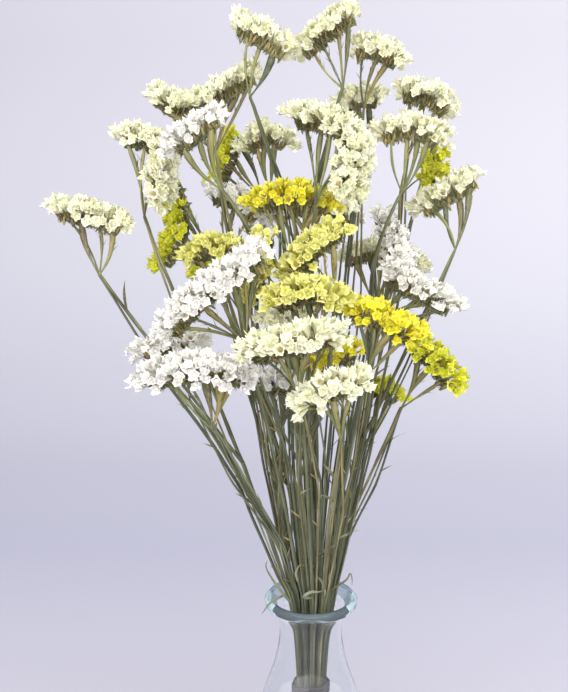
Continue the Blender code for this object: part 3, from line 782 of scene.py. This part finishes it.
def calyx_material_painted_shade(name, throat, body, rim, mottle):
    """Dry papery calyx with fine pleats. Its colour deepens into the throat as painted shade in the
    hollow, and pales at the rim as painted light on the edges.
    """
    made, tree, shader = new_material(name)
    u, v = two_ways(tree, "ShaderNodeUVMap", "UV")
    # Painted shade and light: the colour darkens from the rim down into the throat, where shade falls in
    # the cup.
    colour = ramp(tree, v, ((0.0, throat), (0.35, throat), (0.62, body), (1.0, rim)))
    masks = [ramp(tree, own_shade(tree, u), ((0.3, BLACK), (1.0, WHITE)))]
    for scale in PETAL_PATCHES:
        masks.append(ramp(tree, noise(tree, scale), ((0.45, BLACK), (0.7, WHITE))))
    for mask in masks:
        colour = mixed(tree, mask, colour, mixed(tree, 0.5, colour, mottle))
    wave = math_node(tree, "SINE", math_node(tree, "MULTIPLY", u, math.tau * PETAL_PLEATS))
    fill(
        shader,
        Base_Color=colour,
        Normal=bumped(tree, wave, 0.25, 0.0003),
        Roughness=0.8,
        Specular_IOR_Level=0.15,
        Subsurface_Weight=0.5,
        Subsurface_Radius=(1.0, 1.0, 1.0),
        Subsurface_Scale=0.004,
    )
    return made


def plant_material(name, stops, stripe):
    """Dry plant skin: a colour along its length, pale stripes, its own shade and a fibrous bump."""
    made, tree, shader = new_material(name)
    u, v = two_ways(tree, "ShaderNodeUVMap", "UV")
    stretched = linked(tree, "ShaderNodeCombineXYZ", X=u, Y=v).outputs["Vector"]
    grain = linked(tree, "ShaderNodeMapping", Vector=stretched, Scale=PLANT_GRAIN).outputs["Vector"]
    fibre = linked(tree, "ShaderNodeTexNoise", Vector=grain, Scale=1.0, Detail=4.0).outputs["Fac"]
    pale = ramp(tree, fibre, ((0.48, BLACK), (0.66, WHITE)))
    colour = mixed(tree, pale, ramp(tree, v, stops), stripe)
    colour = mixed(tree, 1.0, colour, ramp(tree, own_shade(tree, u), PLANT_SHADES), "MULTIPLY")
    patches = ramp(tree, noise(tree, 25.0), ((0.35, (0.65, 0.62, 0.58)), (0.7, (1.2, 1.2, 1.15))))
    fill(
        shader,
        Base_Color=mixed(tree, 1.0, colour, patches, "MULTIPLY"),
        Normal=bumped(tree, fibre, 0.5, 0.0004),
        Roughness=0.8,
        Specular_IOR_Level=0.2,
    )
    return made


def glass_material():
    """Clear glass with a faint blue-green tint where it is thick."""
    made, tree, shader = new_material("vase_glass")
    tint = facing(tree, 0.25, ((0.0, (0.98, 0.985, 0.99)), (0.8, (0.86, 0.92, 0.93))))
    fill(shader, Base_Color=tint, Transmission_Weight=1.0, Roughness=0.02, IOR=1.47)
    return made


def lip_material():
    """The thick rolled lip: cloudy blue-green glass."""
    made, tree, shader = new_material("lip_glass")
    edge = ((0.0, (0.60, 0.68, 0.71)), (0.4, (0.44, 0.54, 0.58)), (0.9, (0.16, 0.26, 0.30)))
    streaks = ramp(tree, noise(tree, 60.0), ((0.35, (0.82, 0.90, 0.92)), (0.7, WHITE)))
    tint = mixed(tree, 1.0, facing(tree, 0.3, edge), streaks, "MULTIPLY")
    fill(shader, Base_Color=tint, Transmission_Weight=0.8, Roughness=0.03, IOR=1.12)
    return made


def plain_material(name, colour, mottle, roughness):
    """A matte surface with small patches and a fine grain."""
    made, tree, shader = new_material(name)
    patches = ramp(tree, noise(tree, 400.0), ((0.35, colour), (0.7, mottle)))
    grain = bumped(tree, noise(tree, 900.0), 0.3, 0.0002)
    fill(shader, Base_Color=patches, Normal=grain, Roughness=roughness)
    return made


# The scales of a calyx's patches, and the pleats round it
PETAL_PATCHES = (14.0, 90.0)
PETAL_PLEATS = 26

# Throat, body, rim and mottle of each colour. The deeper throat is painted shade and the paler rim is
# painted light.
PETAL_COLOURS = {
    "cream": ((0.89, 0.86, 0.54), (0.96, 0.95, 0.72), (0.98, 0.975, 0.84), (0.89, 0.89, 0.56)),
    "white": ((0.93, 0.90, 0.79), (0.97, 0.955, 0.89), (0.98, 0.975, 0.93), (0.93, 0.90, 0.80)),
    "lime": ((0.66, 0.66, 0.02), (0.81, 0.80, 0.06), (0.89, 0.88, 0.16), (0.68, 0.70, 0.04)),
    "lemon": ((0.72, 0.66, 0.13), (0.86, 0.84, 0.28), (0.93, 0.92, 0.43), (0.74, 0.72, 0.18)),
    "gold": ((0.90, 0.74, 0.02), (0.97, 0.90, 0.08), (0.98, 0.95, 0.22), (0.90, 0.80, 0.03)),
}

# How a plant's grain is stretched round and along it, and the shades that tell its parts apart
PLANT_GRAIN = (17.0, 9.0, 1.0)
PLANT_SHADES = (
    (0.0, (0.66, 0.72, 0.69)),
    (0.35, (0.9, 0.95, 0.9)),
    (0.7, (1.05, 1.0, 0.85)),
    (1.0, (1.5, 1.25, 0.95)),
)

# The colours along each green or brown part, from its root to its tip, and the colour of its stripes, in
# the order of the materials of a plant
PLANT_COLOURS = (
    (
        "stem",
        ((0.0, (0.11, 0.12, 0.085)), (0.5, (0.135, 0.15, 0.105)), (1.0, (0.19, 0.20, 0.11))),
        (0.36, 0.37, 0.28),
    ),
    (
        "green_bract",
        ((0.0, (0.18, 0.21, 0.09)), (0.6, (0.29, 0.30, 0.14)), (1.0, (0.47, 0.43, 0.24))),
        (0.41, 0.41, 0.24),
    ),
    (
        "brown_bract",
        ((0.0, (0.30, 0.29, 0.15)), (0.5, (0.50, 0.42, 0.24)), (1.0, (0.72, 0.62, 0.42))),
        (0.60, 0.54, 0.36),
    ),
    ("tan_stem", ((0.0, (0.22, 0.20, 0.12)), (1.0, (0.34, 0.27, 0.17))), (0.50, 0.44, 0.32)),
    (
        "dry_leaf",
        ((0.0, (0.17, 0.21, 0.16)), (0.6, (0.24, 0.26, 0.19)), (1.0, (0.14, 0.09, 0.07))),
        (0.36, 0.38, 0.29),
    ),
)


# Pieces


def dress(piece, node):
    """A piece that stands for a node and rides on the one body; the node's own part is hidden."""
    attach(piece, "root")
    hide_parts(node)


# The materials of a comb and of the vase, in their order on the mesh.
PETAL, BROWN_FLOWER = range(2)
GLASS, LIP = range(2)


def build_comb(name, frames, colours):
    """A comb of calyces, each with its small flower in the throat. A few of the flowers are brown."""
    first = name.split("_")[0]
    colour = first if first in PETAL_COLOURS else "cream"
    girth = COMBS[name][0]
    rng = random.Random("comb " + name)
    sheets = Sheets()
    start = frames[0][0]
    phase = rng.uniform(0, 3)
    for root, reach, along in comb_places(frames, girth, rng):
        side = unit(np.cross(reach, along))
        tuft = abs(math.sin(phase + math.pi * np.linalg.norm(root - start) / TUFT_PITCH))
        length = CALYX_LENGTH * (0.6 + 0.4 * girth) * (0.78 + 0.2 * tuft) * rng.uniform(0.88, 1.1)
        radius = CALYX_RADIUS * rng.uniform(0.82, 1.1)
        calyx(sheets, root, reach, side, length, radius, rng)
        pale = rng.random() < PALE_FLOWERS
        wide, slot = (radius, PETAL) if pale else (radius * 0.7, BROWN_FLOWER)
        dry_flower(sheets, root, reach, side, length, wide, slot, rng)
    piece = sheets.build("comb_" + name, [colours[colour], colours["dry_flower"]])
    dress(piece, "flowers_" + name)


def wedge_branch(sheets, foot, top, along, skin, rng):
    """A twig with two leafy wings that widen towards the comb."""
    rise = unit(top - foot)
    wide = squared(along, rise)
    thin = np.cross(rise, wide)
    bow = wide * rng.uniform(-3.0, 3.0) + thin * rng.uniform(-2.0, 2.0)
    full = rng.choice((0.6, 1.4, 2.6, 3.4)) * rng.uniform(0.8, 1.15)
    phase = rng.uniform(0, 6)
    rows = []
    for t in np.linspace(0, 1, 10):
        middle = foot + (top - foot) * t + bow * math.sin(math.pi * t)
        half = 0.6 + full * t**2 * (1 - 0.75 * t**8) + 0.15 * math.sin(9 * t + phase)
        core = thin * (0.6 + 0.2 * t)
        flare = wide * half
        inner = wide * 0.55
        half_round = (flare, inner + core * 0.5, core, core * 0.5 - inner)
        rows.append([middle + way for way in half_round] + [middle - way for way in half_round])
        if t > 0.45:
            out = unit(wide * rng.choice((-1, 1)) + thin * rng.uniform(-1, 1))
            reach = unit(rise + out * rng.uniform(0.25, 0.6))
            length = rng.uniform(5, 9)
            width = rng.uniform(1.2, 2.2)
            slot = rng.choice(BRACTS)
            bract(sheets, middle, reach, out, length, width, slot, rng)
    sheets.grid(rows, skin, rng)


# The scales of a cup, and the turn from one to the next
CUP_SCALES = 12
CUP_TURN = 2.4


def spikelet(sheets, top, up, along, length, rng):
    """A tight cup of pointed scales under a few calyces."""
    side = np.cross(along, up)
    start = rng.uniform(0, 6.3)
    for k in range(CUP_SCALES):
        turn = start + CUP_TURN * k
        out = along * math.cos(turn) + side * math.sin(turn)
        reach = unit(up + out * rng.uniform(0.1, 0.45))
        root = top - up * (length * (1.0 - 0.06 * k)) + out * 0.6
        slot = rng.choice(BRACTS)
        longest = length * rng.uniform(0.55, 0.85)
        bract(sheets, root, reach, out, longest, rng.uniform(1.2, 2.1), slot, rng)


def comb_base(sheets, frames, girth, foot, skin, rng):
    """The green parts under a comb: winged twigs, the spine that they meet and its spikelets."""
    spine = smooth_line([f[0] - f[3] * 2.2 for f in frames], 4.0)
    winged_stem(sheets, spine, 1.2, 1.1, rng, skin)
    last = len(frames) - 1
    count = max(3, round(comb_length(frames) / WEDGE_PITCH))
    for k in range(count):
        place = np.clip((k + 0.5) / count * last + rng.uniform(-0.12, 0.12), 0, last)
        point, along, side, up = along_comb(frames, place)
        top = point - up * 1.5 + side * rng.uniform(-3.5, 3.5)
        wedge_branch(sheets, foot, top, along, rng.choice((GREEN_BRACT, GREEN_BRACT, skin)), rng)
    count = max(3, round(comb_length(frames) / SPIKELET_PITCH) + 1)
    rows = 2 if girth < 0.95 else 3
    for k in range(count):
        for row in range(rows):
            place = np.clip((k + 0.5 * (row % 2)) / (count - 0.5) * last, 0, last)
            point, along, side, up = along_comb(frames, place)
            across = 2 * row / (rows - 1) - 1
            way = unit(up + side * (0.75 * across) + along * rng.uniform(-0.2, 0.2))
            top = point + way * rng.uniform(3.5, 5.5) + side * (across * 1.5)
            spikelet(sheets, top, way, squared(along, way), rng.uniform(8.5, 11.5), rng)


THIN_LEAF_WIDTH = 2.4


def thin_leaf(sheets, root, way, bow, length, rng):
    """A narrow leaf in the stem's colours that bends and twists."""
    edge = unit(np.cross(way, bow))
    shares = np.linspace(0, 1, 12)[:, None]
    half = THIN_LEAF_WIDTH / 2 * (np.sin(math.pi * np.minimum(shares * 0.85 + 0.15, 1)) + 0.02)
    across = edge * np.cos(1.1 * shares) + bow * np.sin(1.1 * shares)
    middle = root + way * (length * shares * (1 - 0.18 * shares)) + bow * (length * 0.30 * shares**2)
    strip(sheets, middle, across * half, bow * 0.25 * half, STEM, rng)


def curled_leaves(columns):
    """The plant, width and points of each curled leaf, which starts on the nearest trunk."""
    trunks = {}
    for column in columns:
        trunks.setdefault(column.plant, smooth_line(column.line, 3.0))
    made = []
    for width, points in CURLED_LEAVES:
        points = [seen_at(*p) for p in points]
        gaps = {name: np.linalg.norm(line - points[0], axis=1) for name, line in trunks.items()}
        plant = min(gaps, key=lambda name: gaps[name].min())
        root = trunks[plant][np.argmin(gaps[plant])]
        made.append((plant, width, [root, *points[1:]]))
    return made


def curled_leaf(sheets, points, width, rng):
    """A narrow dry leaf along a curve, folded along its middle, with its flat side to the front."""
    line = smooth_line(points, 1.5)
    shares = np.linspace(0, 1, len(line))[:, None]
    front = np.array((0.15, -1.0, 0.3))
    alongs = headings(line)
    outs = np.array([squared(front, along) for along in alongs])
    half = width / 2 * (0.08 + np.sin(math.pi * (0.2 + 0.78 * shares)))
    strip(sheets, line, np.cross(alongs, outs) * half, outs * 0.5, DRY_LEAF, rng)


def dry_scales(sheets, line, rng):
    """Small curled scales at the nodes of a thin stem, above the vase."""
    places = [k for k in range(2, len(line) - 6) if line[k, 2] > VASE_HEIGHT]
    rises = headings(line)
    for k in rng.sample(places, min(3, len(places))):
        rise = rises[k]
        out = any_way_across(rise, rng)
        reach = unit(rise + out * rng.uniform(0.3, 1.1))
        length = rng.uniform(4, 10)
        width = rng.uniform(1.2, 2.0)
        slot = rng.choice((*BRACTS, DRY_LEAF))
        bract(sheets, line[k], reach, out, length, width, slot, rng)


def low_points(slot):
    """The points of a stem at the vase's floor and in the tie."""
    return [(*(slot * FOOT_SPREAD), FLOOR + FOOT_GAP), (*slot, TIE_HEIGHT)]


def stem_line(column, below=()):
    """A smooth line along a column, from the points below it, if any, to just past its end."""
    return smooth_line([*below, *column.line[:-1:3], column.line[-1] + (0, 0, 0.5)], 5.0)


def side_stem_line(trunk, column, slot, turn, spread, rng):
    """A thin stem's line, beside the trunk from the floor to the foot of one comb."""
    points = [*low_points(slot), *trunk.line[::4]]
    if column is not trunk:
        points += [*column.line[4:-1:4]]
    points.append(column.end)
    line = smooth_line(points, 6.0)
    share = np.linspace(0, 1, len(line))
    above = np.clip((line[:, 2] - VASE_HEIGHT + SPREAD_BELOW) / SPREAD_RISE, 0, 1)
    away = (SIDE_STEM_GAP + spread * above) * np.clip((1 - share) * 5, 0, 1)
    twist = turn + rng.uniform(-0.5, 1.2) * share
    line[:, 0] += away * np.cos(twist)
    line[:, 1] += away * np.sin(twist)
    return line


def build_stem(plant, slot, columns, combs, leaves, colours):
    """One plant: its trunk, branches, side stems, leaves and the green parts under its combs."""
    rng = random.Random("stem " + plant)
    sheets = Sheets()
    own = [c for c in columns if c.plant == plant]
    trunk = own[0]
    winged_stem(sheets, stem_line(trunk, low_points(slot)), TRUNK_RADIUS, TRUNK_RADIUS * 0.9, rng)
    for column in own:
        if column is not trunk:
            winged_stem(sheets, stem_line(column), TWIG_RADIUS * 1.1, TWIG_RADIUS, rng)
        if column.comb:
            outward = math.atan2(column.end[1], column.end[0])
            for lean in (rng.uniform(-1.3, -0.2), rng.uniform(0.2, 1.3)):
                line = side_stem_line(trunk, column, slot, outward + lean, rng.uniform(3, 12), rng)
                winged_stem(sheets, line, SIDE_STEM_RADIUS, SIDE_STEM_RADIUS * 0.8, rng)
                dry_scales(sheets, line, rng)
            skin = TAN_STEM if column.comb in TAN_COMBS else STEM
            comb_base(sheets, combs[column.comb], COMBS[column.comb][0], column.end, skin, rng)
        for _ in range(2 if column is trunk else 1):
            root = column.line[int(len(column.line) * rng.uniform(0.25, 0.95))]
            rise = unit(column.line[-1] - column.line[0])
            bow = any_way_across(rise, rng)
            thin_leaf(sheets, root, unit(rise + bow * 0.4), bow, rng.uniform(14, 26), rng)
    for owner, width, points in leaves:
        if owner == plant:
            curled_leaf(sheets, points, width, rng)
    piece = sheets.build("plant_" + plant, [colours[name] for name, _, _ in PLANT_COLOURS])
    dress(piece, "stem_" + plant)


def vase_profile():
    """Half of the vase's section, as on the part: outside up to the lip, then inside down."""
    top = VASE_HEIGHT
    return (
        (FOOT_RADIUS - 2, 0),
        (FOOT_RADIUS, 0.4),
        (FOOT_RADIUS + 4, 5),
        (BELLY_RADIUS, 34),
        (BELLY_RADIUS - 1, 66),
        (BELLY_RADIUS - 8, 102),
        (NECK_RADIUS + 4, 130),
        (NECK_RADIUS, 152),
        (NECK_RADIUS + 1, top - 16),
        (LIP_RADIUS - 2.5, top - 8),
        (LIP_RADIUS, top - TINTED_LIP),
        (LIP_RADIUS, top - 2),
        (LIP_RADIUS - 2.2, top),
        (LIP_RADIUS - 5, top - 1),
        (NECK_RADIUS + 1 - WALL, top - 14),
        (NECK_RADIUS - WALL, 151),
        (NECK_RADIUS + 4 - WALL, 129),
        (BELLY_RADIUS - 8 - WALL, 101),
        (BELLY_RADIUS - 1 - WALL, 66),
        (BELLY_RADIUS - WALL, 34),
        (FOOT_RADIUS, FLOOR + 3),
        (FOOT_RADIUS - 8, FLOOR),
    )


def build_vase():
    """The glass vase with a rounded, tinted lip. The small holes on its axis are filled."""
    rows = smooth_line([(r, 0, z) for r, z in vase_profile()], PROFILE_STEP)
    rows = [(AXIS_HOLE, 0.0, 0.0), *rows, (AXIS_HOLE, 0.0, FLOOR)]
    turns = full_circle(VASE_SIDES)
    grid = [[(r * math.cos(t), r * math.sin(t), z) for t in turns] for r, _, z in rows]
    sheets = Sheets()
    sheets.grid(grid, GLASS)
    piece = sheets.build("glass_vase", [glass_material(), lip_material()])
    for face in piece.data.polygons:
        if face.center.z > (VASE_HEIGHT - TINTED_LIP) * MM:
            face.material_index = LIP
    bm = bmesh.new()
    bm.from_mesh(piece.data)
    bmesh.ops.holes_fill(bm, edges=bm.edges, sides=0)
    bmesh.ops.recalc_face_normals(bm, faces=bm.faces)
    bm.to_mesh(piece.data)
    bm.free()
    dress(piece, "vase")


def build_tie(slots):
    """The elastic band, wound round the stems in three strands."""
    sheets = Sheets()
    turns = full_circle(TIE_SIDES)
    ways = np.stack([np.cos(turns), np.sin(turns)], axis=1)
    inner = (ways @ slots.T).max(axis=1) + STEM_RADIUS + TIE_GAP
    strand = TIE_WIDTH / TIE_STRANDS
    for k in range(TIE_STRANDS):
        middle = TIE_HEIGHT + (k - 1) * strand * 0.98
        rows = []
        for a in full_circle(STRAND_SIDES):
            out = inner + TIE_THICKNESS * 0.5 * (1 + math.cos(a))
            high = middle + strand * 0.5 * math.sin(a) + 0.35 * np.sin(turns * 2 + k * 2.1)
            rows.append(np.column_stack([ways * out[:, None], high]))
        rows.append(rows[0])
        sheets.grid(np.array(rows), 0)
    rubber = plain_material("tie", (0.020, 0.016, 0.028), (0.05, 0.04, 0.065), 0.5)
    piece = sheets.build("elastic_tie", [rubber])
    dress(piece, "tie")


def paper_material_painted_light():
    """Pale lavender paper with painted light: a little brighter up the wall, near the vase and to the
    right, where more light falls.
    """
    made, tree, shader = new_material("paper")
    across, deep = two_ways(tree, "ShaderNodeTexCoord", "Object")
    depth = math_node(tree, "DIVIDE", deep, (STAGE_CURVE_START + STAGE_CURVE) * MM)
    # Painted light: the paper's brightness changes with depth, brighter near the vase and up the wall.
    stops = (
        (0.1, (0.473, 0.464, 0.523)),
        (0.3, (0.408, 0.405, 0.481)),
        (0.75, (0.489, 0.488, 0.543)),
        (1.0, (0.591, 0.581, 0.62)),
    )
    # Painted light: the paper is brighter to the right, towards the key light.
    share = math_node(tree, "MULTIPLY_ADD", across, 0.5, 0.5)
    sides = ramp(tree, share, ((0.1, (0.82, 0.82, 0.84)), (0.9, WHITE)))
    colour = mixed(tree, 1.0, ramp(tree, depth, stops), sides, "MULTIPLY")
    fill(shader, Base_Color=colour, Roughness=0.9, Specular_IOR_Level=0.1)
    return made


def build_stage():
    """A pale floor that curves up into the backdrop."""
    profile = [(STAGE_FRONT, 0.0), (STAGE_CURVE_START, 0.0)]
    for turn in np.linspace(0, math.pi / 2, 13)[1:]:
        deep = STAGE_CURVE_START + STAGE_CURVE * math.sin(turn)
        profile.append((deep, STAGE_CURVE - STAGE_CURVE * math.cos(turn)))
    profile.append((STAGE_CURVE_START + STAGE_CURVE, STAGE_TOP))
    sheets = Sheets()
    edges = (-STAGE_HALF_WIDTH, STAGE_HALF_WIDTH)
    sheets.grid([[(x, y, z) for x in edges] for y, z in profile], 0, closed=False)
    stage = sheets.build("backdrop", [paper_material_painted_light()])


def area_light(name, place, size, power):
    """A soft square light aimed at the bunch."""
    data = bpy.data.lights.new(name, "AREA")
    data.shape = "SQUARE"
    data.size = size
    data.energy = power
    light = new_object(name, data)
    light.location = place
    way = np.array(LIT_POINT) - np.array(place)
    flat = math.hypot(way[0], way[1])
    light.rotation_euler = (math.pi / 2 - math.atan2(-way[2], flat), 0, math.atan2(-way[0], way[1]))


def build_lights():
    """Soft light from all round, with a key light above on the right and a fill light on the left."""
    world = bpy.data.worlds.new("studio")
    bpy.context.scene.world = world
    world.use_nodes = True
    fill(world.node_tree.nodes["Background"], Color=(0.98, 0.98, 1.0), Strength=1.7)
    area_light("key", place=(0.4, -0.7, 1.7), size=1.4, power=9)
    area_light("fill", place=(-0.9, -1.6, 0.8), size=1.6, power=9)


def build_camera():
    """The camera where the photograph was taken from."""
    data = bpy.data.cameras.new("camera")
    data.sensor_fit = "VERTICAL"
    data.sensor_height = SENSOR_MM
    data.lens = SENSOR_MM * (FOCAL_LENGTH / PICTURE_HEIGHT)
    data.clip_start = 0.01
    camera = new_object("camera", data)
    camera.location = EYE * MM
    camera.rotation_euler = (math.pi / 2 - EYE_PITCH, 0, 0)
    bpy.context.scene.camera = camera


def main():
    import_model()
    bpy.context.scene.view_settings.view_transform = "Standard"
    build_camera()
    build_lights()
    build_stage()
    colours = {name: calyx_material_painted_shade(name + "_calyx", *four) for name, four in PETAL_COLOURS.items()}
    colours["dry_flower"] = plain_material("dry_flower", (0.52, 0.38, 0.18), (0.30, 0.18, 0.08), 0.8)
    for name, stops, stripe in PLANT_COLOURS:
        colours[name] = plant_material(name, stops, stripe)
    combs, slots, columns = lay_out()
    for name, frames in combs.items():
        build_comb(name, frames, colours)
    leaves = curled_leaves(columns)
    for slot, plant in zip(slots, PLANTS):
        build_stem(plant, slot, columns, combs, leaves, colours)
    build_vase()
    build_tie(slots)


main()
